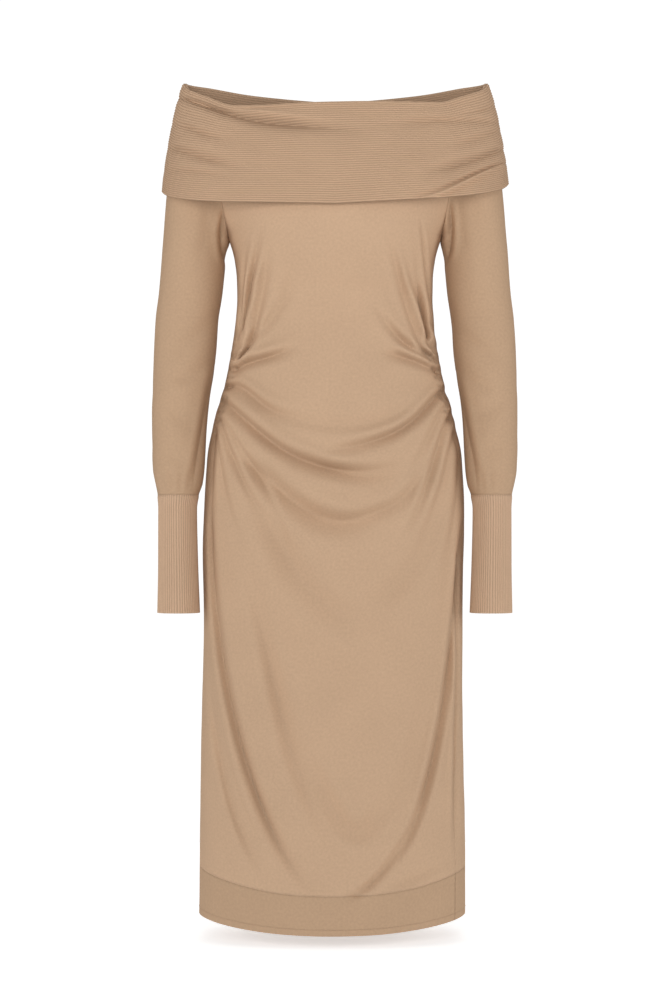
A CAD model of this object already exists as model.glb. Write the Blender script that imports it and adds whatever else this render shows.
"""Looks of the off-the-shoulder sweater dress: fine cloth with its folds, real ribs, seams and
stitches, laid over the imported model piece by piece.

Lengths inside the shape functions are millimetres; make_mesh() turns them into metres.
Front faces -Y, +X is the wearer's left, Z is 0 at the neckline.
"""
import math
from collections import namedtuple

import bpy
import numpy as np
from bpy.props import FloatProperty, FloatVectorProperty, IntProperty, PointerProperty
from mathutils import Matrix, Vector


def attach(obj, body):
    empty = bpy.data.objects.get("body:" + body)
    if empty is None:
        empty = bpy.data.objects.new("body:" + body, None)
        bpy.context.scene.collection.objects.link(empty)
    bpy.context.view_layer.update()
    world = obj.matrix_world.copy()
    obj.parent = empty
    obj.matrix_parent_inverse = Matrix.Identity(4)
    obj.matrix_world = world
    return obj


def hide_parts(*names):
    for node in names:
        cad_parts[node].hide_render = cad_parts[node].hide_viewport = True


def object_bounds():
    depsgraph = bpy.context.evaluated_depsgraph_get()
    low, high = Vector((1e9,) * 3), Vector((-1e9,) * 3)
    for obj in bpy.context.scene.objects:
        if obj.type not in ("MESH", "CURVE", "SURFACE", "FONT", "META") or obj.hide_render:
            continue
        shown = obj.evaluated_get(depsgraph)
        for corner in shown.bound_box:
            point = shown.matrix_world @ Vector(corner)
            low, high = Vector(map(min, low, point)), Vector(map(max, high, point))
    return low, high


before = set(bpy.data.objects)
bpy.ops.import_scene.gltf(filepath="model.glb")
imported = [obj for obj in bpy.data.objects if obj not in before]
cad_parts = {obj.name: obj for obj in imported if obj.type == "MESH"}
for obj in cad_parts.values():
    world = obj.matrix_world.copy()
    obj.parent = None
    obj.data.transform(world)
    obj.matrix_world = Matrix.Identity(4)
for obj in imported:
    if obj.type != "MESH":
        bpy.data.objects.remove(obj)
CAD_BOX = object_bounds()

bl_info = {
    "name": "Sweater Dress",
    "version": (1, 0, 0),
    "blender": (4, 5, 0),
    "location": "3D View > Sidebar > Dress",
    "description": "Builds the knitted dress over its packed frame",
    "category": "Object",
}

MM = 0.001
MIDDLE = -1.5             # middle of the chest, sleeves and cuffs along X
SEAM_GAP = 0.015          # between two pieces of cloth
NECK_SEAM = -45.0
UNDERARM = -182.0
CUFF_SEAM = -512.0
CUFF_END = -664.0
HEM_SEAM_SIDE = -992.0    # the hem band's seam and edge lie lower in the middle of the front
HEM_SEAM_DIP = 26.0
HEM_SIDE = -1053.5
HEM_DIP = 14.0
DIP_START = -800.0        # below this height the rows begin to dip in front
ROUNDNESS = 2.2           # power of the oval sections; 2 is an ellipse

# Body sections, down from the underarm: height, half width, middle, front and back depth.
Body = namedtuple("Body", "z half_width middle front back")
BODY = [
    Body(-182, 137.5, -1.5, 125, 89),
    Body(-194, 133.5, -1.5, 121, 87),
    Body(-207, 130.3, -1.5, 116, 85),
    Body(-233, 127.2, -1.5, 106, 81),
    Body(-259, 126.6, -1.5, 97, 78),
    Body(-285, 128.2, -1.5, 96, 80),
    Body(-324, 133.6, -2.0, 98, 88),
    Body(-363, 141.0, -2.0, 102, 98),
    Body(-415, 156.0, -2.0, 107, 112),
    Body(-467, 165.5, -2.0, 109, 121),
    Body(-545, 169.0, -2.5, 109, 123),
    Body(-675, 167.5, -4.0, 107, 114),
    Body(-831, 170.0, -5.0, 106, 106),
    Body(-987, 172.5, -4.5, 107, 101),
    Body(-1075, 173.0, -5.0, 109, 102),
]

# Armhole line on each side, down from the neck seam: its distance from the middle to the side
# and to the front and back, and the chest's depths at that height.
Armhole = namedtuple("Armhole", "z x y chest_front chest_back")
ARMHOLE = [
    Armhole(-45, 152.0, 67.0, 93, 92),
    Armhole(-80, 150.2, 61.5, 110, 94),
    Armhole(-126, 146.0, 50.0, 127, 95),
    Armhole(-155, 141.5, 36.5, 131, 94),
    Armhole(-170, 139.0, 23.5, 129, 92),
    Armhole(-182, 137.5, 0.0, 125, 89),
]

# Side seams below the armhole: height and angle from the middle of the front, in degrees.
SideSeam = namedtuple("SideSeam", "z right left")
SIDE_SEAM = [
    SideSeam(-182, -90, 90),
    SideSeam(-250, -80, 80),
    SideSeam(-325, -72, 72),
    SideSeam(-415, -74, 73),
    SideSeam(-500, -82, 80),
    SideSeam(-750, -90, 80),
    SideSeam(-831, -92, 71),
    SideSeam(-910, -93, 65),
    SideSeam(-1075, -94, 64),
]

# Sleeve sections: height, inner and outer edge (from the dress's middle), middle and half depth.
# Above the height of its second row the sleeve's arc ends on the armhole before its widest depth.
Sleeve = namedtuple("Sleeve", "z inner outer middle_y half_depth")
SLEEVE = [
    Sleeve(-45, 152.0, 206.5, 0, 76.4),
    Sleeve(-80, 150.2, 212.5, 0, 61.5),
    Sleeve(-120, 147.0, 218.0, 0, 60),
    Sleeve(-182, 137.5, 223.0, 0, 54.5),
    Sleeve(-194, 140.4, 224.0, 0, 53.5),
    Sleeve(-207, 141.8, 225.0, 0, 52.5),
    Sleeve(-250, 146.0, 228.4, 0, 49),
    Sleeve(-285, 151.0, 232.6, -2, 47.5),
    Sleeve(-337, 154.8, 235.0, -5, 46),
    Sleeve(-389, 161.4, 236.2, -11, 44),
    Sleeve(-428, 165.2, 236.4, -15, 42),
    Sleeve(-480, 168.5, 234.5, -21, 38),
    Sleeve(-499, 171.0, 231.0, -23, 31.5),
    Sleeve(-512, 175.5, 228.5, -24, 28.2),
    Sleeve(-530, 178.5, 227.0, -25, 25.5),
    Sleeve(-600, 177.0, 227.0, -27, 26),
    Sleeve(-664, 174.5, 228.0, -28, 27),
]

# Collar round the shoulders, by angle from the middle of the front: heights of its folded top
# and of its loose lower edge.  The left side hangs a little shorter than the right.
Collar = namedtuple("Collar", "angle top bottom")
COLLAR = [
    Collar(0, -16, -150),
    Collar(35, -15, -142),
    Collar(52, -3, -135.5),
    Collar(70, 9, -125.5),
    Collar(90, 22, -114),
    Collar(120, 24, -120),
    Collar(150, 18, -126),
    Collar(180, 11, -129),
]
COLLAR_LEAN = 5.0         # its loose edge lies this much higher at the left, lower at the right
SIDE_DROOP = 0.055        # share by which the ribs sink between top and edge at the sides
COLLAR_MIDDLE = -0.5
TURN_RADIUS = 3.5         # of the cloth where the collar turns over
COLLAR_SAG = 4.6          # its top hangs a little lower right of the middle of the front
SAG_ANGLE = -0.48
SAG_SPREAD = 0.36
TURN_RIBS = 4             # ribs over the turn and on the outer leg
OUTER_RIBS = 44

# Outside of the collar, by height: half width, front and back depth.
CollarPlan = namedtuple("CollarPlan", "z half_width front back")
COLLAR_PLAN = [
    CollarPlan(24, 197, 88, 88),
    CollarPlan(0, 205, 94, 94),
    CollarPlan(-30, 212, 101, 99),
    CollarPlan(-75, 220, 118, 104),
    CollarPlan(-115, 225, 132, 108),
    CollarPlan(-150, 227, 142, 110),
]

# How folds of a kind run: the shares of their length over which they rise at the start and
# fade before the end, and how many times wider they get.
Kind = namedtuple("Kind", "begin finish spread")
PINCHED = Kind(0.06, 0.45, 1.5)     # drawn together at a seam and opening out from it
HANGING = Kind(0.10, 0.35, 1.9)     # long, from a side down across the skirt
LOOSE = Kind(0.24, 0.35, 1.2)       # soft at both ends

# Folds drawn on the garment's front or back: four points (x, z) along the valley, its half
# width and depth, the side on which the cloth swells beside it (1 left of its run, -1 right,
# 0 both), the share of its depth that is a narrow crease, and its kind.
Fold = namedtuple("Fold", "start early late end width depth lip crease kind")
FRONT_FOLDS = [
    Fold((-126, -312), (-121, -262), (-118, -228), (-113, -190), 2.2, 6.0, 0, 0.4, PINCHED),
    Fold((-121, -300), (-115, -266), (-106, -227), (-93, -168), 3.0, 11.0, 0, 0.4, PINCHED),
    Fold((-121, -300), (-117, -284), (-112, -266), (-106, -240), 2.4, 5.0, 0, 0.6, HANGING),
    Fold((-105, -302), (-98, -272), (-91, -240), (-86, -198), 4.8, 4.6, 0, 0.2, LOOSE),
    Fold((-127, -326), (-96, -304), (-66, -262), (-56, -204), 5.0, 3.4, 0, 0.1, PINCHED),
    Fold((-124, -337), (-115, -327), (-106, -307), (-93, -262), 3.4, 8.5, 0, 0.5, PINCHED),
    Fold((-126, -339), (-121, -333), (-116, -327), (-111, -317), 2.2, 8.0, 0, 1.0, LOOSE),
    Fold((-132, -354), (-109, -343), (-81, -336), (-40, -322), 4.4, 11.5, 1, 0.4, PINCHED),
    Fold((119, -312), (113, -282), (106, -250), (100, -200), 3.0, 8.5, 0, 0.4, PINCHED),
    Fold((119, -310), (115, -292), (111, -272), (105, -246), 2.4, 4.0, 0, 0.6, HANGING),
    Fold((119, -312), (105, -262), (96, -236), (84, -192), 3.4, 6.5, 0, 0.3, PINCHED),
    Fold((122, -268), (117, -236), (112, -198), (107, -162), 2.4, 5.5, 0, 0.4, LOOSE),
    Fold((104, -306), (91, -274), (80, -234), (66, -186), 4.4, 5.2, 0, 0.2, LOOSE),
    Fold((123, -340), (114, -331), (107, -319), (97, -290), 3.4, 10.0, 0, 0.6, PINCHED),
    Fold((130, -339), (123, -335), (117, -331), (110, -324), 2.4, 9.5, 0, 1.0, LOOSE),
    Fold((130, -343), (102, -329), (76, -308), (46, -266), 4.2, 8.1, 0, 0.3, PINCHED),
    Fold((131, -336), (124, -327), (117, -315), (110, -298), 3.6, 6.9, 0, 0.4, PINCHED),
    Fold((134, -354), (112, -346), (84, -337), (50, -333), 4.4, 10.5, -1, 0.4, PINCHED),
    Fold((-142, -372), (-112, -382), (-84, -404), (-28, -418), 5.0, 9.0, 1, 0.3, PINCHED),
    Fold((-148, -390), (-92, -438), (-14, -478), (100, -468), 5.5, 13.0, 1, 0.3, HANGING),
    Fold((-34, -468), (6, -484), (46, -490), (92, -474), 8.0, 5.0, 1, 0.2, LOOSE),
    Fold((142, -373), (106, -411), (58, -441), (-46, -463), 5.0, 12.9, -1, 0.4, PINCHED),
    Fold((-150, -414), (-134, -460), (-114, -503), (-84, -556), 3.6, 6.3, 1, 0.3, PINCHED),
    Fold((-146, -412), (-116, -460), (-84, -514), (-54, -606), 3.6, 3.6, 1, 0.3, PINCHED),
    Fold((-155, -428), (-149, -470), (-138, -522), (-112, -590), 3.6, 4.2, 1, 0.3, PINCHED),
    Fold((-157, -424), (-159, -480), (-161, -540), (-158, -610), 3.6, 5.4, 1, 0.3, PINCHED),
    Fold((152, -404), (132, -448), (111, -514), (72, -584), 4.0, 7.5, -1, 0.3, PINCHED),
    Fold((156, -420), (146, -458), (133, -508), (102, -584), 4.0, 6.3, -1, 0.3, PINCHED),
    Fold((160, -432), (158, -482), (151, -544), (130, -620), 4.0, 4.8, -1, 0.3, PINCHED),
    Fold((146, -392), (126, -424), (104, -466), (72, -506), 4.5, 4.5, -1, 0.3, PINCHED),
    Fold((-54, -416), (16, -424), (80, -409), (136, -378), 9.0, 3.6, -1, 0.1, LOOSE),
    Fold((-118, -470), (-66, -511), (-6, -545), (74, -524), 12.0, 14.5, 1, 0.1, LOOSE),
    Fold((30, -541), (76, -523), (105, -493), (140, -428), 8.0, 6.9, 1, 0.2, LOOSE),
    Fold((-100, -524), (-58, -598), (-16, -650), (54, -684), 16, 9.0, 0, 0.1, LOOSE),
    Fold((132, -530), (104, -594), (68, -635), (22, -668), 13, 6.0, 0, 0.1, LOOSE),
    Fold((-162, -548), (-149, -700), (-103, -886), (-14, -1026), 4.2, 11.5, -1, 0.3, HANGING),
    Fold((-98, -660), (-72, -775), (-40, -880), (24, -992), 10.0, 8.5, -1, 0.0, LOOSE),
    Fold((-160, -780), (-144, -866), (-122, -936), (-88, -1000), 5.0, 5.4, -1, 0.3, LOOSE),
    Fold((-148, -812), (-134, -866), (-114, -922), (-86, -968), 6.0, 2.4, 1, 0.1, LOOSE),
    Fold((160, -570), (145, -724), (117, -874), (60, -1008), 3.6, 11.0, 0, 0.3, HANGING),
    Fold((156, -600), (155, -740), (152, -880), (152, -980), 2.8, 8.5, -1, 0.4, LOOSE),
    Fold((-30, -852), (4, -922), (38, -932), (74, -852), 11.0, 7.0, 0, 0.0, LOOSE),
    Fold((24, -1016), (50, -996), (74, -966), (102, -920), 5.0, 7.0, 0, 0.2, LOOSE),
    Fold((114, -760), (98, -832), (76, -896), (40, -950), 11, 3.6, -1, 0.1, LOOSE),
    Fold((132, -984), (104, -996), (82, -1004), (56, -1010), 5.0, 3.0, 1, 0.2, LOOSE),
    Fold((-70, -620), (-44, -700), (-6, -742), (44, -748), 20, 3.3, 0, 0.0, LOOSE),
]
BACK_FOLDS = [
    Fold((-126, -308), (-113, -262), (-104, -216), (-108, -160), 3.2, 6.4, 0, 0.3, PINCHED),
    Fold((-128, -322), (-105, -286), (-88, -236), (-88, -168), 3.8, 4.8, 0, 0.3, PINCHED),
    Fold((-131, -338), (-122, -330), (-112, -318), (-98, -298), 4.0, 7.0, 0, 0.4, PINCHED),
    Fold((-133, -352), (-108, -342), (-82, -336), (-40, -324), 4.6, 6.7, 1, 0.3, PINCHED),
    Fold((127, -306), (114, -262), (105, -216), (106, -160), 3.2, 6.4, 0, 0.3, PINCHED),
    Fold((129, -324), (104, -292), (84, -240), (78, -172), 3.8, 4.8, 0, 0.3, PINCHED),
    Fold((131, -342), (106, -332), (78, -312), (46, -270), 4.4, 5.9, 0, 0.3, PINCHED),
    Fold((134, -356), (112, -349), (90, -344), (50, -340), 4.6, 6.7, -1, 0.3, PINCHED),
    Fold((-142, -374), (-112, -396), (-78, -414), (-10, -424), 5.0, 7.3, 1, 0.3, PINCHED),
    Fold((144, -376), (110, -416), (58, -446), (-46, -458), 5.0, 9.8, -1, 0.3, PINCHED),
    Fold((-148, -396), (-112, -448), (-62, -486), (20, -508), 5.0, 9.8, 1, 0.3, PINCHED),
    Fold((152, -404), (134, -452), (104, -506), (48, -554), 4.4, 6.7, -1, 0.3, PINCHED),
    Fold((-152, -412), (-130, -474), (-100, -530), (-56, -590), 4.4, 6.2, 1, 0.3, PINCHED),
    Fold((156, -422), (150, -476), (136, -536), (104, -612), 4.0, 4.8, -1, 0.3, PINCHED),
    Fold((-157, -426), (-154, -484), (-142, -548), (-116, -624), 4.0, 4.5, 1, 0.3, PINCHED),
    Fold((-112, -486), (-50, -536), (14, -556), (88, -524), 11, 8.4, 0, 0.2, LOOSE),
    Fold((-92, -560), (-40, -628), (22, -652), (92, -598), 17, 6.4, 0, 0.1, LOOSE),
    Fold((-160, -566), (-142, -700), (-100, -850), (-34, -980), 5.5, 9.0, -1, 0.3, HANGING),
    Fold((160, -560), (150, -702), (114, -846), (46, -986), 5.5, 9.2, 1, 0.3, HANGING),
    Fold((-124, -640), (-96, -760), (-54, -866), (8, -948), 12, 5.3, 0, 0.1, LOOSE),
    Fold((118, -700), (94, -800), (62, -884), (10, -960), 13, 4.5, 0, 0.1, LOOSE),
    Fold((-52, -716), (-18, -790), (26, -806), (70, -752), 18, 4.2, 0, 0.0, LOOSE),
]
COLLAR_FOLDS = [
    Fold((-204, 2), (-124, -33), (-60, -46), (52, -58), 5.0, 9.5, 1, 0.6, HANGING),
    Fold((-196, 14), (-120, -20), (-70, -33), (0, -40), 4.0, -3.0, 0, 0.5, LOOSE),
    Fold((204, -33), (160, -36), (114, -40), (52, -48), 5.0, 4.6, -1, 0.2, LOOSE),
    Fold((-182, 12), (-150, 0), (-110, -12), (-60, -24), 4.0, 2.7, 1, 0.1, LOOSE),
    Fold((106, -142), (146, -127), (181, -107), (222, -87), 2.0, -5.0, 0, 0.9, LOOSE),
    Fold((226, -80), (184, -101), (150, -119), (108, -137), 2.0, 3.6, 0, 0.9, LOOSE),
    Fold((216, -66), (182, -84), (150, -97), (100, -114), 4.5, 8.0, -1, 0.45, HANGING),
    Fold((212, -42), (192, -52), (172, -62), (140, -72), 4.5, 3.8, -1, 0.2, LOOSE),
    Fold((-214, -64), (-186, -77), (-158, -88), (-112, -106), 5.0, 7.2, 1, 0.3, HANGING),
    Fold((-206, -34), (-186, -44), (-166, -54), (-128, -64), 4.5, 4.9, 1, 0.3, LOOSE),
    Fold((-216, -94), (-190, -100), (-162, -106), (-120, -120), 5.0, 3.4, 1, 0.2, LOOSE),
    Fold((206, -8), (190, -18), (170, -26), (140, -28), 4.0, 3.0, -1, 0.2, LOOSE),
]
SLEEVE_LEFT_FOLDS = [
    Fold((146, -150), (147, -176), (145, -197), (141, -216), 3.4, 9.5, 0, 0.6, LOOSE),
    Fold((156, -138), (158, -160), (162, -184), (170, -214), 6, 1.2, 0, 0.2, LOOSE),
    Fold((158, -372), (168, -430), (176, -474), (182, -520), 4.5, 6.5, 1, 0.4, LOOSE),
    Fold((152, -296), (176, -318), (198, -332), (228, -336), 9, 3.1, 1, 0.1, LOOSE),
    Fold((156, -346), (172, -364), (190, -374), (214, -376), 8, 2.9, -1, 0.1, LOOSE),
    Fold((236, -366), (214, -390), (194, -404), (168, -410), 10, 2.6, 1, 0.0, LOOSE),
    Fold((236, -430), (220, -444), (202, -452), (184, -450), 10, 2.1, 1, 0.0, LOOSE),
    Fold((189, -530), (188, -502), (186, -484), (181, -462), 3.5, 2.3, 0, 0.2, PINCHED),
    Fold((199, -530), (199, -504), (198, -488), (196, -470), 4.0, 2.0, 0, 0.2, PINCHED),
    Fold((208, -530), (209, -502), (210, -484), (212, -464), 3.5, 2.3, 0, 0.2, PINCHED),
    Fold((217, -530), (218, -506), (220, -492), (223, -476), 3.5, 2.0, 0, 0.2, PINCHED),
]
SLEEVE_RIGHT_FOLDS = [
    Fold((141, -156), (144, -180), (142, -200), (139, -218), 3.4, 9.5, 0, 0.6, LOOSE),
    Fold((160, -142), (163, -166), (167, -190), (176, -222), 6, 1.2, 0, 0.2, LOOSE),
    Fold((158, -366), (168, -426), (175, -470), (182, -518), 4.5, 6.5, 1, 0.4, LOOSE),
    Fold((152, -282), (174, -306), (196, -322), (226, -330), 9, 2.9, 1, 0.1, LOOSE),
    Fold((156, -338), (174, -354), (192, -362), (218, -360), 8, 3.1, -1, 0.1, LOOSE),
    Fold((236, -376), (216, -396), (196, -412), (170, -420), 10, 2.3, 1, 0.0, LOOSE),
    Fold((236, -444), (220, -456), (204, -462), (186, -458), 10, 2.1, 1, 0.0, LOOSE),
    Fold((187, -530), (186, -504), (183, -486), (178, -466), 3.5, 2.3, 0, 0.2, PINCHED),
    Fold((196, -530), (196, -506), (195, -490), (193, -474), 4.0, 2.0, 0, 0.2, PINCHED),
    Fold((206, -530), (207, -504), (208, -486), (210, -468), 3.5, 2.3, 0, 0.2, PINCHED),
    Fold((216, -530), (217, -508), (219, -494), (222, -478), 3.5, 2.0, 0, 0.2, PINCHED),
]

CREASE_SHADE = 0.02       # how much darker the cloth is for each millimetre of narrow crease
SHADE_LIMITS = (-0.12, 0.36)  # a raised crease is lighter
COLLAR_SHADE = 1.8        # the collar's creases are shaded this much more
FOLD_STEPS = 80           # points along a fold when its distance is measured
FOLD_REACH = 4.0          # in half widths; beyond it a fold is left out
FOLD_FADE = 16.0          # folds flatten out over this distance before an armhole
SEAM_REACH = 16.0         # a fold that crosses a side seam runs on this far
CREASE_WIDTH = 0.45       # half width of the narrow crease and of its shade, in half widths
SHADE_WIDTH = 0.8
SWELL = 0.34              # height of the swelling beside a valley, for a depth of 1
SWELL_FAR = 1.8           # its distance from the valley and its width, in half widths
SWELL_WIDTH = 1.05
LIP_LEAN = 0.25           # how much steeper a valley is beside its swelling
FOLD_LEAN = 0.72          # share of a fold's height that points straight to the front or back
FOLD_ONSET = 40.0         # below the underarm folds need this height to reach the side seams
WAVES = 7                 # slow waves of uneven cloth, their lengths and joint height
WAVE_LENGTHS = (45, 150)
WAVE_LEVEL = 0.8
WAVE_FADE = 30.0          # they flatten out over this distance before a side seam
SLEEVE_EVEN = 14.0        # and all relief of a sleeve over this height above its cuff

GATHER_TOP = -312.0       # the side seams are drawn up below this, in so many gathers
GATHERS = 8
GATHER_PITCH = 14.0
GATHER_DEPTH = 1.8
GATHER_REACH = 20.0       # how far a gather runs in from the seam
GATHER_UNEVEN = 0.35      # how much gathers differ in size, and are shifted, in pitches
GATHER_DRIFT = 0.16
SEAM_PIT = 2.6            # depth of the seam between two gathers
PIT_REACH = 6.5
PUCKER_FROM_SEAM = 14.0   # a pucker beside each pit: its distance, depth and shade
PUCKER_DEPTH = 2.6
PUCKER_SHADE = 11.0

ARM_FILL = 12.0           # how far the cloth stands out over the armhole seam in front
ARM_FILL_REACH = 8.0
ARM_FILL_FOOT = 20.0      # height over which it rises above the underarm
ARM_FILL_TOP = (-125, -85)

STITCH_ABOVE_EDGE = 8.5   # row of stitches above the dress's lower edge
STITCH_GROOVE = 0.9       # half width and depth of the groove in which they lie, and its shade
STITCH_DEPTH = 0.3
STITCH_SHADE = 3.0
STITCH_PITCH = 4.0
STITCH_LENGTH = 3.0
STITCH_WIDTH = 0.55
STITCH_SIDES = 6
STITCH_RINGS = np.array([0.02, 0.2, 0.5, 0.8, 0.98])
STITCH_ZONE = 4.0         # height above and below the row in which points lie closer
BAND_SEAM_GROOVE = 1.0    # half width, depth and shade of the hem band's side seams
BAND_SEAM_DEPTH = 0.5
BAND_SEAM_SHADE = 11.0

# Rows of points down each piece, by zones: the front and back down to the underarm, the
# gathers, the hips and the hem seam; the hem band down to its stitches, past them and to its
# edge; a sleeve down to the underarm and the cuff; and a cuff with its edge.
PANEL_ROWS = (54, 52, 150, 120)
HEM_ROWS = (16, 20, 6)
SLEEVE_ROWS = (56, 130)
CUFF_ROWS = (40, 2)

# Columns of points across the front and back, round a sleeve, and on the collar's front.
FRONT_COLUMNS = 196
BACK_COLUMNS = 160
SLEEVE_COLUMNS = 120
COLLAR_FRONT_COLUMNS = 192
COLLAR_FRONT_ANGLE = 1.75     # they are denser up to this angle on both sides
COLLAR_BACK_COLUMNS = 40      # on each side behind
COLLAR_ROWS = (66, 24, 240)   # up the inner leg, over the turn and down the outer leg
COLLAR_INNER_STEP = 6         # rows of the ribbed side to a row of the plain one
CUFF_RIB_STEPS = 6            # points across a rib of the cuff
FOLDS_THIN_OUT = -560.0       # rows are closest from the gathers' top down to here
RIB_FULLNESS = 0.7            # below 1 a rib is rounder and the valley beside it narrower

# Knit: width and height of a stitch and its relief, in metres; patterns by repeats in a metre.
WALE = 0.0014
COURSE = 0.0011
KNIT_RELIEF = 0.0002
KNIT_MELANGE = 300.0
RIB_MELANGE = 420.0
CLOUDS = 16.0
FUZZ = 2600.0
STRAND = 900.0

# Flat size of the cloth that shows, in metres and square metres, and how it is held.
Sheet = namedtuple("Sheet", "width length area held rests_on")

# Studio, in metres: square soft lights aimed above the dress, floor, surroundings and camera.
Lamp = namedtuple("Lamp", "name place size power")
LAMPS = [
    Lamp("key", (-0.10, -2.1, -0.08), 1.4, 30.5),
    Lamp("left fill", (-2.4, -0.9, -0.1), 1.4, 26.0),
    Lamp("right fill", (2.4, -0.9, -0.1), 1.4, 29.0),
    Lamp("back fill", (0.0, 2.8, 0.6), 2.4, 38.0),
    Lamp("top", (0.0, 0.2, 2.2), 2.0, 14.0),
]
LIGHT_AIM = (0.0, 0.0, 1.4)
FLOOR_BELOW = 0.016
FLOOR_RADIUS = 0.9
FLOOR_GLOW = 0.54         # brightness of the floor by itself, and as a light on the dress
FLOOR_BOUNCE = 0.88
WORLD_LIT = 0.22          # brightness of the surroundings as a light, and to the camera
WORLD_SEEN = 1.05
CAMERA_AT = (0.0, -3.2, -0.524)
CAMERA_LENS = 87.9
SENSOR = 36.0


# ---------------------------------------------------------------------------- sizes and colours
class DressSizes(bpy.types.PropertyGroup):
    """Sizes of the cloth that a user would change."""
    jersey: FloatProperty(
        name="Fine Knit", description="Thickness of the fine knit's wall",
        default=0.0016, min=0.001, max=0.003, subtype="DISTANCE", unit="LENGTH")
    ribbed: FloatProperty(
        name="Ribbed Knit", description="Thickness of the ribbed wall below its ribs",
        default=0.0022, min=0.001, max=0.003, subtype="DISTANCE", unit="LENGTH")
    rib_height: FloatProperty(
        name="Rib Height", description="How far a rib stands out",
        default=0.0008, min=0.0, max=0.002, subtype="DISTANCE", unit="LENGTH")
    rib_pitch: FloatProperty(
        name="Rib Pitch", description="Distance from rib to rib inside the neckline",
        default=0.003, min=0.002, max=0.006, subtype="DISTANCE", unit="LENGTH")
    cuff_ribs: IntProperty(
        name="Cuff Ribs", description="Upright ribs round one cuff", default=56, min=20, max=80)
    fold_strength: FloatProperty(
        name="Fold Strength", description="Depth of all folds, as a share of their own",
        default=1.0, min=0.0, max=1.5, subtype="FACTOR")
    unevenness: FloatProperty(
        name="Unevenness", description="Height of the cloth's slow waves",
        default=0.0007, min=0.0, max=0.002, subtype="DISTANCE", unit="LENGTH")


class DressColors(bpy.types.PropertyGroup):
    """Colours of the cloth, its thread and the floor."""
    jersey: FloatVectorProperty(
        name="Fine Knit", description="Colour of the fine knit",
        default=(0.550, 0.371, 0.242), size=3, min=0.0, max=1.0, subtype="COLOR")
    collar: FloatVectorProperty(
        name="Collar", description="Colour of the collar's ribbed knit",
        default=(0.500, 0.334, 0.218), size=3, min=0.0, max=1.0, subtype="COLOR")
    cuffs: FloatVectorProperty(
        name="Cuffs", description="Colour of the cuffs' ribbed knit",
        default=(0.560, 0.379, 0.254), size=3, min=0.0, max=1.0, subtype="COLOR")
    sleeves: FloatVectorProperty(
        name="Sleeves", description="Colour of the sleeves' fine knit",
        default=(0.514, 0.343, 0.219), size=3, min=0.0, max=1.0, subtype="COLOR")
    hem: FloatVectorProperty(
        name="Hem Band", description="Colour of the band below the skirt",
        default=(0.484, 0.323, 0.206), size=3, min=0.0, max=1.0, subtype="COLOR")
    thread: FloatVectorProperty(
        name="Thread", description="Colour of the sewing thread",
        default=(0.470, 0.310, 0.195), size=3, min=0.0, max=1.0, subtype="COLOR")
    floor: FloatVectorProperty(
        name="Floor", description="Colour of the studio floor",
        default=(0.92, 0.92, 0.92), size=3, min=0.0, max=1.0, subtype="COLOR")


# ---------------------------------------------------------------------------- shape helpers
def table_at(rows, key, column, values):
    """Column of a table at the given key values, eased by a monotone cubic between its rows."""
    keys = np.array([getattr(row, key) for row in rows], float)
    data = np.array([getattr(row, column) for row in rows], float)
    order = np.argsort(keys)
    keys = keys[order]
    data = data[order]
    steps = np.diff(data) / np.diff(keys)
    slope = np.zeros(len(data))
    same = steps[1:] * steps[:-1] > 0
    mean = 2 * steps[1:] * steps[:-1] / np.where(same, steps[1:] + steps[:-1], 1)
    slope[1:-1] = np.where(same, mean, 0)
    slope[0] = steps[0]
    slope[-1] = steps[-1]
    values = np.clip(values, keys[0], keys[-1])
    left = np.clip(np.searchsorted(keys, values) - 1, 0, len(keys) - 2)
    width = keys[left + 1] - keys[left]
    t = (values - keys[left]) / width
    return (
        data[left] * (1 + 2 * t) * (1 - t) ** 2
        + data[left + 1] * t * t * (3 - 2 * t)
        + slope[left] * width * t * (1 - t) ** 2
        - slope[left + 1] * width * t * t * (1 - t)
    )


def smooth(value, start, end):
    """0 at start, 1 at end, eased at both."""
    t = np.clip((value - start) / (end - start), 0, 1)
    return t * t * (3 - 2 * t)


def part_power(value, power):
    """Power of a number's size, with its sign kept."""
    return np.sign(value) * np.abs(value) ** power


def oval(angle, half_width, front, back):
    """Point (x, y) of an oval at an angle from the middle of the front toward +X."""
    depth = np.where(np.cos(angle) > 0, front, back)
    x = half_width * part_power(np.sin(angle), 2 / ROUNDNESS)
    y = -depth * part_power(np.cos(angle), 2 / ROUNDNESS)
    return x, y


def surface_normals(function, u, v, step_u, step_v):
    """Unit normals of a smooth surface: the cross product of its slopes along u and v."""
    along_u = function(u + step_u, v) - function(u - step_u, v)
    along_v = function(u, v + step_v) - function(u, v - step_v)
    normal = np.cross(along_u, along_v)
    return normal / np.linalg.norm(normal, axis=-1, keepdims=True)


def zone_rows(zones):
    """Values of the rows of all zones, each zone's last row being the next one's first."""
    parts = [np.linspace(start, end, count + 1)[:-1] for start, end, count in zones]
    return np.append(np.concatenate(parts), zones[-1][1])


def edged(count, edge):
    """Shares from 0 to 1 in even steps, with two more close to each end."""
    return zone_rows([(0, edge, 2), (edge, 1 - edge, count - 4), (1 - edge, 1, 2)])


def slow_waves(x, z, seed):
    """Cloth is never quite even: a sum of long sine waves of set directions, from -1 to 1."""
    chance = np.random.default_rng(seed)
    total = np.zeros_like(x)
    for wave in range(WAVES):
        length = chance.uniform(*WAVE_LENGTHS)
        heading = chance.uniform(0, math.pi)
        shift = chance.uniform(0, 2 * math.pi)
        along = x * math.cos(heading) + z * math.sin(heading)
        total += np.sin(2 * math.pi * along / length + shift) / WAVES ** 0.5
    return total * WAVE_LEVEL


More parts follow.
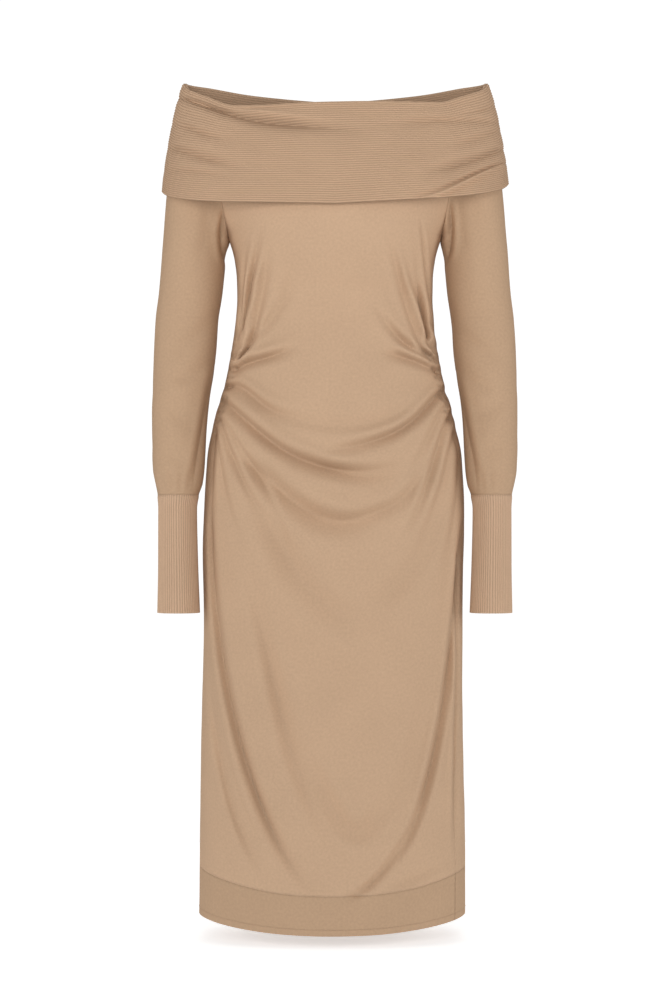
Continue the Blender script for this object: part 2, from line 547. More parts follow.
def fold_way(normals):
    """Direction in which folds rise: partly along the normal and mostly straight to the front
    or back, so that a fold keeps its drawn width where the cloth turns away."""
    way = (1 - FOLD_LEAN) * normals
    way[..., 1] += FOLD_LEAN * np.tanh(3 * normals[..., 1])
    return way


def fold_relief(x, z, folds):
    """Sum of all folds at points of the front view.

    A fold is a cubic through its four points.  Across it the height is a bell-shaped valley,
    part of it a narrow crease, and a lower bell beside it.  The second result is the depth of
    the narrow creases alone, from which the cloth's own shade is worked out.
    """
    total = np.zeros_like(x)
    creased = np.zeros_like(x)
    t = np.linspace(0, 1, FOLD_STEPS)
    weights = np.stack([
        -4.5 * (t - 1 / 3) * (t - 2 / 3) * (t - 1),
        13.5 * t * (t - 2 / 3) * (t - 1),
        -13.5 * t * (t - 1 / 3) * (t - 1),
        4.5 * t * (t - 1 / 3) * (t - 2 / 3),
    ], axis=1)
    for fold in folds:
        path = weights @ np.array([fold.start, fold.early, fold.late, fold.end], float)
        kind = fold.kind
        reach = FOLD_REACH * fold.width * kind.spread
        low = path.min(axis=0) - reach
        high = path.max(axis=0) + reach
        near = (x > low[0]) & (x < high[0]) & (z > low[1]) & (z < high[1])
        if not near.any():
            continue
        gap_x = x[near][:, None] - path[:, 0]
        gap_z = z[near][:, None] - path[:, 1]
        nearest = np.argmin(gap_x ** 2 + gap_z ** 2, axis=1)
        heading = np.gradient(path, axis=0)
        step = np.linalg.norm(heading, axis=1, keepdims=True)
        heading = heading / step
        rows = np.arange(len(nearest))
        dx = gap_x[rows, nearest]
        dz = gap_z[rows, nearest]
        across = dz * heading[nearest, 0] - dx * heading[nearest, 1]
        beyond = dx * heading[nearest, 0] + dz * heading[nearest, 1]
        along = t[nearest] + beyond / step[nearest, 0] / (FOLD_STEPS - 1)
        strength = smooth(along, -kind.begin, kind.begin)
        strength = strength * (1 - smooth(along, 1 - kind.finish, 1.04))
        side = across / fold.width / (1 + (kind.spread - 1) * np.clip(along, 0, 1))
        leaning = side * (1 + LIP_LEAN * fold.lip * np.tanh(side))
        valley = (1 - fold.crease) * np.exp(-leaning ** 2)
        valley = valley + fold.crease * np.exp(-np.abs(leaning) / CREASE_WIDTH)
        swell = SWELL * np.exp(-((np.abs(side) - SWELL_FAR) / SWELL_WIDTH) ** 2)
        if fold.lip:
            swell = swell * (0.25 + 0.75 * smooth(side * fold.lip, -1, 1))
        depth = fold.depth * strength
        total[near] += depth * (swell - valley)
        creased[near] += depth * fold.crease * np.exp(-(leaning / SHADE_WIDTH) ** 2)
    return total, creased


def gather_relief(z, from_seam):
    """Drawn-up side seam: the seam lies in uneven pits, small pleats run in from it, and a
    pucker lies beside each pit.  The second result is the shade of the puckers."""
    turn = (z - GATHER_TOP) / GATHER_PITCH
    window = smooth(turn, 0, -1.4) * (1 - smooth(turn, 1.2 - GATHERS, -GATHERS))
    size = 1 + GATHER_UNEVEN * np.sin(2.3 * turn + 0.7)
    wave = np.cos(2 * np.pi * (turn + GATHER_DRIFT * np.sin(1.7 * turn)))
    pleat = GATHER_DEPTH * size * wave * np.exp(-(from_seam / GATHER_REACH) ** 2)
    pit = SEAM_PIT * (0.6 - 0.4 * wave) * np.exp(-(from_seam / PIT_REACH) ** 2)
    pucker = (0.5 - 0.5 * wave) ** 3 * np.exp(-((from_seam - PUCKER_FROM_SEAM) / PIT_REACH) ** 2)
    return (pleat - pit - PUCKER_DEPTH * pucker) * window, PUCKER_SHADE * pucker * window


def rib_profile(phase):
    """Height of ribs from 0 to 1: a cosine made fuller, with one rib to a whole phase."""
    return (0.5 - 0.5 * np.cos(2 * np.pi * phase)) ** RIB_FULLNESS


def armhole_fill(from_arm, z):
    """How far the cloth stands out over the armhole seam: a ridge on both sides of the seam,
    which ends above the underarm and under the collar."""
    height = ARM_FILL * smooth(z, UNDERARM, UNDERARM + ARM_FILL_FOOT)
    height = height * (1 - smooth(z, *ARM_FILL_TOP))
    return height * np.exp(-from_arm / ARM_FILL_REACH)


def lowest_near(relief, row_step, column_step):
    """Lowest relief within a coarse step of each point, so that a coarser inner wall stays
    behind the outer one in every crease."""
    for axis, step in ((0, row_step), (1, column_step)):
        margins = [(step, step) if side == axis else (0, 0) for side in (0, 1)]
        wide = np.pad(relief, margins, mode="edge")
        count = relief.shape[axis]
        shifted = [np.take(wide, range(shift, shift + count), axis)
                   for shift in range(2 * step + 1)]
        relief = np.min(shifted, axis=0)
    return relief


# ---------------------------------------------------------------------------- body
def armhole_angle(z, side):
    """Angle of the armhole line from the middle of the front (side -1) or back (side 1)."""
    chest = "chest_front" if side < 0 else "chest_back"
    ratio = table_at(ARMHOLE, "z", "y", z) / table_at(ARMHOLE, "z", chest, z)
    return np.arccos(np.clip(ratio, 0, 1) ** (ROUNDNESS / 2))


def body_shape(z, side):
    """Half width, front depth, back depth and middle of the body at a height."""
    upper = z > UNDERARM
    at_arm = np.sin(armhole_angle(z, side)) ** (2 / ROUNDNESS)
    x = table_at(ARMHOLE, "z", "x", z)
    chest_front = table_at(ARMHOLE, "z", "chest_front", z)
    chest_back = table_at(ARMHOLE, "z", "chest_back", z)
    half_width = np.where(upper, x / at_arm, table_at(BODY, "z", "half_width", z))
    front = np.where(upper, chest_front, table_at(BODY, "z", "front", z))
    back = np.where(upper, chest_back, table_at(BODY, "z", "back", z))
    return half_width, front, back, table_at(BODY, "z", "middle", z)


def hem_drop(angle, z):
    """How far a point lies below its row: the hem dips in the middle of the front."""
    dip = HEM_SEAM_DIP + (HEM_DIP - HEM_SEAM_DIP) * smooth(z, HEM_SEAM_SIDE, HEM_SIDE)
    facing = np.where(np.cos(angle) > 0, np.cos(angle) ** 2, 0)
    return dip * facing * smooth(z, DIP_START, HEM_SEAM_SIDE)


def body_point(angle, z, side):
    """Smooth body surface before its folds: at each height an oval of the tables' sizes.
    Side is -1 in front and 1 behind."""
    half_width, front, back, middle = body_shape(z, side)
    x, y = oval(angle, half_width, front, back)
    return np.stack([x + middle, y, z - hem_drop(angle, z)], axis=-1)


def side_angles(z, side):
    """Angles of a panel's two long edges: the armhole, then the side seam."""
    arm = armhole_angle(z, side)
    right = np.radians(table_at(SIDE_SEAM, "z", "right", z))
    left = np.radians(table_at(SIDE_SEAM, "z", "left", z))
    upper = z > UNDERARM
    if side < 0:
        return np.where(upper, -arm, right), np.where(upper, arm, left)
    return np.where(upper, np.pi - arm, left), np.where(upper, np.pi + arm, 2 * np.pi + right)


def panel_grid(heights, columns, side, sizes):
    """Points, normals and cloth coordinates of the front or back between its seams.

    Rows are heights and columns are even steps of angle between the two side edges.  The
    smooth surface moves along its normals by folds, gathers and slow waves.  A fold that
    reaches a side seam fades out beyond it on the other panel.
    """
    across = edged(columns, 1.6 / columns)
    start, end = side_angles(heights, side)
    angle = start[:, None] + (end - start)[:, None] * across
    z = np.repeat(heights[:, None], columns + 1, axis=1)

    def point(u, v):
        return body_point(u, v, side)

    points = point(angle, z)
    normals = surface_normals(point, angle, z, 0.002, 0.5)
    x = points[..., 0]
    level = points[..., 2]
    from_edge = np.minimum(angle - angle[:, :1], angle[:, -1:] - angle)
    from_seam = from_edge * body_shape(z, side)[0]
    below = smooth(z, UNDERARM, UNDERARM - FOLD_ONSET)
    folds = FRONT_FOLDS if side < 0 else BACK_FOLDS
    others = BACK_FOLDS if side < 0 else FRONT_FOLDS
    own, creased = fold_relief(x, level, folds)
    kept = below + (1 - below) * smooth(from_seam, 0, FOLD_FADE)
    edges, edges_creased = fold_relief(x[:, [0, -1]], level[:, [0, -1]], others)
    first = np.arange(columns + 1) < columns / 2
    reached = below * np.exp(-(from_seam / SEAM_REACH) ** 2)
    relief = own * kept + np.where(first, edges[:, :1], edges[:, 1:]) * reached
    nearer = np.where(first, edges_creased[:, :1], edges_creased[:, 1:])
    creased = creased * kept + nearer * reached
    gathers, puckers = gather_relief(z, from_seam)
    relief = (relief + gathers) * sizes.fold_strength
    creased = creased + puckers
    waves = sizes.unevenness / MM * slow_waves(x, level, 3 + side)
    relief = relief + waves * smooth(from_seam, 0, WAVE_FADE)
    hem_stitched = np.exp(-((z - HEM_SIDE - STITCH_ABOVE_EDGE) / STITCH_GROOVE) ** 2)
    relief = relief - STITCH_DEPTH * hem_stitched
    creased = creased + STITCH_SHADE * hem_stitched
    band_seamed = np.exp(-(from_seam / BAND_SEAM_GROOVE) ** 2) * (z < HEM_SEAM_SIDE)
    relief = relief - BAND_SEAM_DEPTH * band_seamed
    creased = creased + BAND_SEAM_SHADE * band_seamed
    from_arm = np.minimum(np.abs(x - x[:, :1]), np.abs(x - x[:, -1:]))
    outward = fold_way(normals)
    inner = points + outward * lowest_near(relief, 2, 2)[..., None]
    inner = inner - sizes.jersey / MM * normals
    inner[..., 1] += side * armhole_fill(from_arm, z)
    points = points + outward * relief[..., None]
    points[..., 1] += side * armhole_fill(from_arm, z)
    points = pull_in(points, SEAM_GAP)
    inner = pull_in(inner, SEAM_GAP)[::2, ::2]
    return points, inner, cloth_coordinates(points, (columns + 1) // 2), creased


def cloth_coordinates(points, middle):
    """Distances in metres along the cloth: across each row from its middle, and down the
    middle column."""
    across = np.linalg.norm(np.diff(points, axis=1), axis=-1).cumsum(axis=1)
    across = np.concatenate([np.zeros((len(points), 1)), across], axis=1)
    across = across - across[:, middle:middle + 1]
    down = np.linalg.norm(np.diff(points[:, middle], axis=0), axis=-1).cumsum()
    down = -np.append(0, down)
    down = np.repeat(down[:, None], points.shape[1], axis=1)
    return np.stack([across, down], axis=-1) * MM


def pull_in(points, gap):
    """Points of a grid with its first and last columns drawn in by half a seam gap."""
    points = points.copy()
    for edge, inner in ((0, 1), (-1, -2)):
        inward = points[:, inner] - points[:, edge]
        points[:, edge] += gap / 2 * inward / np.linalg.norm(inward, axis=-1, keepdims=True)
    return points


# ---------------------------------------------------------------------------- sleeve and cuff
def sleeve_point(turn, z):
    """Left sleeve: turn runs from 0 at the front edge through 0.5 outside to 1 behind.

    Below the underarm the section is a whole oval.  Above it the section is an arc that ends
    on the armhole line in front and behind.
    """
    outer = table_at(SLEEVE, "z", "outer", z)
    depth = table_at(SLEEVE, "z", "half_depth", z)
    middle = table_at(SLEEVE, "z", "middle_y", z)
    inner = table_at(SLEEVE, "z", "inner", z)
    upper = z > UNDERARM
    edge_x = np.where(upper, table_at(ARMHOLE, "z", "x", z), inner)
    edge_y = np.where(upper, table_at(ARMHOLE, "z", "y", z), 0)
    end = np.arcsin(np.clip(edge_y / depth, 0, 1) ** (ROUNDNESS / 2))
    end = np.where(z > SLEEVE[1].z, end, np.pi - end)
    end_x = part_power(np.cos(end), 2 / ROUNDNESS)
    half_width = (outer - edge_x) / (1 - end_x)
    angle = (2 * turn - 1) * end
    x = outer - half_width + half_width * part_power(np.cos(angle), 2 / ROUNDNESS)
    y = middle + depth * part_power(np.sin(angle), 2 / ROUNDNESS)
    return np.stack([x + MIDDLE, y, z], axis=-1)


def sleeve_grid(heights, turns):
    """Points and normals of the smooth left sleeve or cuff, by height and turn."""
    turn = np.repeat(turns[None, :], len(heights), axis=0)
    z = np.repeat(heights[:, None], len(turns), axis=1)
    points = sleeve_point(turn, z)
    normals = surface_normals(sleeve_point, np.clip(turn, 0.004, 0.996), z, 0.002, 0.5)
    closed = z[:, 0] <= UNDERARM
    mean = normals[closed, 0] + normals[closed, -1]
    mean /= np.linalg.norm(mean, axis=-1, keepdims=True)
    normals[closed, 0] = mean
    normals[closed, -1] = mean
    return points, normals


# ---------------------------------------------------------------------------- collar
def collar_shape(angle, z):
    """Plan of the collar's outer leg at a height: an oval of the table's sizes."""
    half_width = table_at(COLLAR_PLAN, "z", "half_width", z)
    front = table_at(COLLAR_PLAN, "z", "front", z)
    back = table_at(COLLAR_PLAN, "z", "back", z)
    x, y = oval(angle, half_width, front, back)
    return np.stack([x + COLLAR_MIDDLE, y, z], axis=-1)


def neck_shape(angle):
    """Seam on which the collar stands: the oval of the dress's top edge."""
    top = ARMHOLE[0]
    x, y = oval(angle, SLEEVE[0].outer, top.chest_front, top.chest_back)
    return np.stack([x + MIDDLE, y, np.full_like(x, NECK_SEAM + SEAM_GAP)], axis=-1)


def collar_profile(angle, along):
    """Collar surface: along is 0 at the seam, 1 at the turn's inside, 2 at its outside and 3
    at the loose edge.  The inner leg is straight, the turn a half circle, and the outer leg
    follows the plan down."""
    wrapped = (angle + np.pi) % (2 * np.pi) - np.pi
    turned = np.degrees(np.abs(wrapped))
    top = table_at(COLLAR, "angle", "top", turned) - TURN_RADIUS
    top = top - COLLAR_SAG * np.exp(-((wrapped - SAG_ANGLE) / SAG_SPREAD) ** 2)
    bottom = table_at(COLLAR, "angle", "bottom", turned) + COLLAR_LEAN * np.sin(angle)
    crest = collar_shape(angle, top)
    heading = collar_shape(angle + 0.01, top) - collar_shape(angle - 0.01, top)
    outward = np.stack([heading[..., 1], -heading[..., 0], np.zeros_like(top)], axis=-1)
    outward /= np.linalg.norm(outward, axis=-1, keepdims=True)
    inner_top = crest - 2 * TURN_RADIUS * outward
    seam = neck_shape(angle)
    rise = np.clip(along, 0, 1)[..., None]
    inner = seam + (inner_top - seam) * rise
    bend = np.pi * np.clip(along - 1, 0, 1)
    middle = crest - TURN_RADIUS * outward
    arc = middle - TURN_RADIUS * np.cos(bend)[..., None] * outward
    arc[..., 2] += TURN_RADIUS * np.sin(bend)
    fall = np.clip(along - 2, 0, 1)
    sunk = SIDE_DROOP * np.sin(np.pi * fall) * smooth(np.abs(np.sin(angle)), 0.5, 1)
    outer = collar_shape(angle, top + (bottom - top) * (fall + sunk))
    along = along[..., None]
    return np.where(along < 1, inner, np.where(along < 2, arc, outer))


# ---------------------------------------------------------------------------- meshes
def stitch_row(name, line, side):
    """Stitches along a line of points: each is a closed spindle that lies on the line, as long
    as a stitch, and swells to its width in the middle."""
    way = np.diff(line, axis=0)
    run = np.concatenate([[0], np.linalg.norm(way, axis=1).cumsum()])
    count = int(run[-1] / STITCH_PITCH)
    first = (run[-1] - count * STITCH_PITCH) / 2 + 0.5 * (STITCH_PITCH - STITCH_LENGTH)
    places = first + STITCH_PITCH * np.arange(count)[:, None] + STITCH_LENGTH * STITCH_RINGS
    middle = np.stack([np.interp(places, run, line[:, axis]) for axis in range(3)], axis=-1)
    heading = middle[:, -1:] - middle[:, :1]
    heading = heading / np.linalg.norm(heading, axis=-1, keepdims=True)
    up = np.array([0.0, 0.0, 1.0])
    out = np.cross(heading, up)
    turn = np.linspace(0, 2 * np.pi, STITCH_SIDES + 1)[:-1]
    size = STITCH_WIDTH * np.sin(np.pi * STITCH_RINGS) ** 0.5
    ring = np.cos(turn)[:, None] * up + np.sin(turn)[:, None] * out[:, :, None]
    points = middle[:, :, None] + size[None, :, None, None] * ring
    ids = np.arange(points[..., 0].size).reshape(points.shape[:3])
    after = np.roll(ids, -1, axis=2)
    sides = np.stack([ids[:, :-1], ids[:, 1:], after[:, 1:], after[:, :-1]], axis=-1)
    ends = np.stack([ids[:, 0, ::-1], ids[:, -1]], axis=1)
    halves = np.concatenate([ends[..., [0, 1, 2, 3]], ends[..., [0, 3, 4, 5]]])
    faces = np.concatenate([sides.reshape(-1, 4), halves.reshape(-1, 4)])
    if side > 0:
        faces = faces[:, ::-1]
    flat = points.reshape(-1, 3)
    return make_mesh(name, flat, [(faces, flat[faces][..., [0, 2]] * MM, False)])


def wall(name, outer, inner, coordinates, closed_from=None, mirrored=False, creased=None):
    """Closed wall between an outer grid of points and an inner one, which may be coarser by
    whole steps.  Rows from closed_from on are rings, whose last column is their first.
    """
    rows, columns = outer.shape[:2]
    inner_rows, inner_columns = inner.shape[:2]
    row_step = (rows - 1) // (inner_rows - 1)
    column_step = (columns - 1) // (inner_columns - 1)
    own = np.arange(rows * columns).reshape(rows, columns)
    inner_own = np.arange(inner_rows * inner_columns).reshape(inner_rows, inner_columns)
    outer_ids = own.copy()
    inner_ids = inner_own + own.size
    if closed_from is not None:
        outer_ids[closed_from:, -1] = outer_ids[closed_from:, 0]
        inner_ids[closed_from // row_step:, -1] = inner_ids[closed_from // row_step:, 0]
    inner_coordinates = coordinates[::row_step, ::column_step]

    def corners(ids):
        quads = [ids[:-1, :-1], ids[1:, :-1], ids[1:, 1:], ids[:-1, 1:]]
        return np.stack(quads, axis=-1).reshape(-1, 4)

    flat = coordinates.reshape(-1, 2)
    inner_flat = inner_coordinates.reshape(-1, 2)
    groups = [
        (corners(outer_ids), flat[corners(own)], False),
        (corners(inner_ids)[:, ::-1], inner_flat[corners(inner_own)[:, ::-1]], False),
    ]

    def rim(outer_edge, inner_edge, edge_coordinates, step):
        count = len(inner_edge) - 1
        take = np.arange(count)[:, None] * step + np.arange(step + 1)
        back = np.stack([inner_edge[1:], inner_edge[:-1]], axis=1)
        ids = np.concatenate([outer_edge[take], back], axis=1)
        back = np.stack([np.arange(1, count + 1), np.arange(count)], axis=1) * step
        groups.append((ids, edge_coordinates[np.concatenate([take, back], axis=1)], True))

    rim(outer_ids[0], inner_ids[0], coordinates[0], column_step)
    rim(outer_ids[-1][::-1], inner_ids[-1][::-1], coordinates[-1][::-1], column_step)
    last = rows - 1 if closed_from is None else closed_from
    if last > 0:
        part = slice(0, last + 1)
        inner_part = slice(0, last // row_step + 1)
        rim(outer_ids[part, 0][::-1], inner_ids[inner_part, 0][::-1],
            coordinates[part, 0][::-1], row_step)
        rim(outer_ids[part, -1], inner_ids[inner_part, -1], coordinates[part, -1], row_step)

    points = np.concatenate([outer.reshape(-1, 3), inner.reshape(-1, 3)])
    shade = np.zeros(len(points))
    if creased is not None:
        shade[:own.size] = np.clip(creased.ravel() * CREASE_SHADE, *SHADE_LIMITS)
    return make_mesh(name, points, groups, mirrored, shade)


def make_mesh(name, points, groups, mirrored=False, shade=None):
    """Object from points in millimetres and groups of faces of one size, each with its cloth
    coordinates; a group's last value says that its edges stay sharp.  Shade is how much darker
    the cloth is at each point."""
    ids = [group[0] for group in groups]
    uvs = [group[1] for group in groups]
    if mirrored:
        points = points * (-1, 1, 1) + (2 * MIDDLE, 0, 0)
        ids = [faces[:, ::-1] for faces in ids]
        uvs = [places[:, ::-1] for places in uvs]
    loops = np.concatenate([faces.ravel() for faces in ids])
    used, loops = np.unique(loops, return_inverse=True)
    sizes = np.concatenate([np.full(len(faces), faces.shape[1]) for faces in ids])
    sharp = np.concatenate([np.full(len(group[0]), group[2]) for group in groups])
    mesh = bpy.data.meshes.new(name)
    mesh.vertices.add(len(used))
    mesh.vertices.foreach_set("co", (points[used] * MM).ravel())
    mesh.loops.add(len(loops))
    mesh.loops.foreach_set("vertex_index", loops.ravel().astype(np.int32))
    mesh.polygons.add(len(sizes))
    starts = np.append(0, np.cumsum(sizes)[:-1])
    mesh.polygons.foreach_set("loop_start", starts.astype(np.int32))
    mesh.polygons.foreach_set("use_smooth", ~sharp)
    layer = mesh.uv_layers.new(name="knit")
    layer.data.foreach_set("uv", np.concatenate([places.reshape(-1, 2) for places in uvs]).ravel())
    if shade is not None:
        attribute = mesh.attributes.new("crease_shade", "FLOAT", "POINT")
        attribute.data.foreach_set("value", shade[used].astype(np.float32))
    mesh.update()
    mesh.validate()
    piece = bpy.data.objects.new(name, mesh)
    bpy.context.scene.collection.objects.link(piece)
    return piece


def dress_piece(piece, node, material):
    """Put a finished piece of cloth in the place of its node."""
    piece.data.materials.append(material)
    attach(piece, "root")
    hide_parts(node)


# ---------------------------------------------------------------------------- materials
class Value:
    """A shader socket that takes part in Python expressions; each adds a Math node."""

    def __init__(self, finish, socket):
        self.finish = finish
        self.socket = socket

    def math(self, operation, *others):
        """Result of a Math node whose first input is this value."""
        values = {0: self}
        values.update({place + 1: other for place, other in enumerate(others)})
        return self.finish.node("ShaderNodeMath", {"operation": operation}, values)

    def __add__(self, other):
        return self.math("ADD", other)

    def __sub__(self, other):
        return self.math("SUBTRACT", other)

    def __mul__(self, other):
        return self.math("MULTIPLY", other)

    def __truediv__(self, other):
        return self.math("DIVIDE", other)

    def __rsub__(self, other):
        return self.math("MULTIPLY", -1.0) + other

    __radd__ = __add__
    __rmul__ = __mul__

    def size(self):
        """The value without its sign."""
        return self.math("ABSOLUTE")

    def rest(self):
        """What is left of the value above its whole number."""
        return self.math("FRACT")


class Finish:
    """A material on a Principled shader, with one method that adds every other node."""

    def __init__(self, name):
        self.material = bpy.data.materials.new(name)
        self.material.use_nodes = True
        self.tree = self.material.node_tree
        self.shader = self.tree.nodes["Principled BSDF"]

    def node(self, kind, settings, inputs, output=0):
        """Add a node: its settings first, then its inputs; the result is one of its outputs."""
        node = self.tree.nodes.new(kind)
        for setting, value in settings.items():
            setattr(node, setting, value)
        for place, value in inputs.items():
            self.feed(node.inputs[place], value)
        return Value(self, node.outputs[output])

    def feed(self, socket, value):
        """Link a value to a socket, or set the socket to a plain value."""
        if isinstance(value, Value):
            self.tree.links.new(value.socket, socket)
        else:
            socket.default_value = value

    def feed_shader(self, **inputs):
        """Feed the Principled shader's sockets, named with _ for a space."""
        for place, value in inputs.items():
            self.feed(self.shader.inputs[place.replace("_", " ")], value)

    def dim_as_light(self, strength):
        """What the surface throws on others is an even glow, dimmer than it looks."""
        seen = self.node("ShaderNodeLightPath", {}, {}, 0)
        dim = self.node("ShaderNodeEmission", {}, {"Strength": strength})
        bright = Value(self, self.shader.outputs[0])
        mix = self.node("ShaderNodeMixShader", {}, {0: seen, 1: dim, 2: bright})
        self.feed(self.tree.nodes["Material Output"].inputs["Surface"], mix)

    def noise(self, scale, detail, where):
        """Soft random pattern from 0 to 1."""
        return self.node(
            "ShaderNodeTexNoise", {}, {"Vector": where, "Scale": scale, "Detail": detail})

    def mixed(self, share, first, second):
        """Colour from first to second by a share; inputs 6 and 7 of Mix are its colours."""
        node = self.tree.nodes.new("ShaderNodeMix")
        node.data_type = "RGBA"
        self.feed(node.inputs[0], share)
        self.feed(node.inputs[6], first)
        self.feed(node.inputs[7], second)
        return Value(self, node.outputs[2])

    def bumped(self, height, distance, strength):
        """Normal of a fine relief."""
        return self.node(
            "ShaderNodeBump", {}, {"Height": height, "Distance": distance, "Strength": strength})


def shaded(color, share):
    """A colour made darker or lighter, with its alpha."""
    return (*(min(1.0, part * share) for part in color), 1.0)


def cloth_patterns(finish, melange_scale):
    """What all knit shares: distances across and along the cloth, a melange of lighter and
    darker yarn, slow clouds, fine fuzz, and the shade of its creases."""
    place = finish.node("ShaderNodeUVMap", {"uv_map": "knit"}, {})
    across = finish.node("ShaderNodeSeparateXYZ", {}, {0: place}, 0)
    along = finish.node("ShaderNodeSeparateXYZ", {}, {0: place}, 1)
    melange = finish.noise(melange_scale, 3.0, place)
    cloud = finish.noise(CLOUDS, 2.0, place)
    fuzz = finish.noise(FUZZ, 2.0, place)
    shade = finish.node("ShaderNodeAttribute", {"attribute_name": "crease_shade"}, {}, 2)
    return across, along, melange, cloud, fuzz, shade


def feed_cloth(finish, color, base, melange, normal, sheen):
    """Dull cloth with a light sheen of its own colour."""
    finish.feed_shader(
        Base_Color=base,
        Roughness=melange * 0.12 + 0.84,
        Normal=normal,
        Sheen_Weight=sheen,
        Sheen_Roughness=0.5,
        Sheen_Tint=shaded(color, 1.6),
        Specular_IOR_Level=0.12,
    )


def knit_finish(name, color):
    """Fine knit: V-shaped stitches in columns, each a slanting ridge on both sides of its
    column's middle."""
    finish = Finish(name + " fine knit")
    across, along, melange, cloud, fuzz, shade = cloth_patterns(finish, KNIT_MELANGE)
    column = (across / WALE).rest()
    from_middle = (column - 0.5).size()
    stitch = (along / COURSE + from_middle * 1.3).rest()
    ridge = 1.0 - (stitch - 0.5).size() * 2.0
    groove = 1.0 - from_middle * 2.0
    knit = ridge * 0.5 + (groove * 1.5).math("MINIMUM", 1.0)
    tone = melange * 0.42 + cloud * 0.13 + knit * 0.06 + 0.338 - shade * 1.667
    base = finish.mixed(tone, shaded(color, 0.60), shaded(color, 1.20))
    height = knit * 0.7 + fuzz * 0.5 + melange * 0.4
    normal = finish.bumped(height, KNIT_RELIEF, 0.6)
    feed_cloth(finish, color, base, melange, normal, 0.15)
    return finish.material


def rib_finish(name, color, pitch):
    """Ribbed knit: light on its ribs and darker between them."""
    finish = Finish(name + " rib")
    across, _, melange, cloud, fuzz, shade = cloth_patterns(finish, RIB_MELANGE)
    from_middle = ((across / pitch).rest() - 0.5).size() * 2.0
    rib = 1.0 - from_middle * from_middle
    tone = rib * 0.48 + melange * 0.24 + cloud * 0.14 + 0.198 - shade * 1.43
    base = finish.mixed(tone, shaded(color, 0.50), shaded(color, 1.20))
    height = rib * 0.6 + melange * 0.2 + fuzz * 0.2
    normal = finish.bumped(height, KNIT_RELIEF, 0.5)
    feed_cloth(finish, color, base, melange, normal, 0.12)
    return finish.material


def thread_finish(color):
    """Sewing thread, a little uneven in colour along its strands."""
    finish = Finish("thread")
    where = finish.node("ShaderNodeTexCoord", {}, {}, 3)
    strands = finish.noise(STRAND, 2.0, where)
    finish.feed_shader(
        Base_Color=finish.mixed(strands, shaded(color, 0.8), shaded(color, 1.15)),
        Roughness=strands * 0.2 + 0.6,
        Normal=finish.bumped(strands, KNIT_RELIEF, 0.5),
    )
    return finish.material


def floor_finish(color):
    """Pale paper floor with a trace of grain."""
    finish = Finish("studio floor")
    where = finish.node("ShaderNodeTexCoord", {}, {}, 3)
    grain = finish.noise(60.0, 2.0, where)
    finish.feed_shader(
        Base_Color=finish.mixed(grain, shaded(color, 0.99), shaded(color, 1.01)),
        Roughness=grain * 0.1 + 0.85,
        Specular_IOR_Level=0.1,
        Emission_Color=(1.0, 1.0, 1.0, 1.0),
        Emission_Strength=FLOOR_GLOW,
    )
    finish.dim_as_light(FLOOR_BOUNCE)
    return finish.material


# ---------------------------------------------------------------------------- operators
class DRESS_OT_panels(bpy.types.Operator):
    """Front and back of bodice and skirt, with their folds and gathered side seams"""
    bl_idname = "dress.panels"
    bl_label = "Front and Back"

    def execute(self, context):
        sizes = context.scene.dress_sizes
        color = context.scene.dress_colors.jersey
        levels = (NECK_SEAM, UNDERARM, GATHER_TOP, FOLDS_THIN_OUT, HEM_SEAM_SIDE)
        heights = zone_rows(list(zip(levels, levels[1:], PANEL_ROWS)))
        for name, side, columns in (("front", -1, FRONT_COLUMNS), ("back", 1, BACK_COLUMNS)):
            points, inner, coordinates, creased = panel_grid(heights, columns, side, sizes)
            piece = wall(name + "_cloth", points, inner, coordinates, creased=creased)
            dress_piece(piece, name, knit_finish(name, color))
        return {"FINISHED"}


class DRESS_OT_hem_bands(bpy.types.Operator):
    """Band below the skirt, in front and behind, and the stitches that hold its turned edge"""
    bl_idname = "dress.hem_bands"
    bl_label = "Hem Band"

    def execute(self, context):
        sizes = context.scene.dress_sizes
        color = context.scene.dress_colors.hem
        groove = HEM_SIDE + STITCH_ABOVE_EDGE
        levels = (HEM_SEAM_SIDE - SEAM_GAP, groove + STITCH_ZONE, groove - STITCH_ZONE, HEM_SIDE)
        heights = zone_rows(list(zip(levels, levels[1:], HEM_ROWS)))
        near_groove = groove + np.array([0.5, 0, -0.5])
        for name, side, columns in (("hem_band_front", -1, FRONT_COLUMNS),
                                    ("hem_band_back", 1, BACK_COLUMNS)):
            points, inner, coordinates, creased = panel_grid(heights, columns, side, sizes)
            piece = wall(name + "_cloth", points, inner, coordinates, creased=creased)
            line = panel_grid(near_groove, 3 * BACK_COLUMNS, side, sizes)[0][1]
            stitches = stitch_row(name + "_stitches", line, side)
            stitches.data.materials.append(thread_finish(context.scene.dress_colors.thread))
            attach(stitches, "root")
            dress_piece(piece, name, knit_finish(name, color))
        return {"FINISHED"}


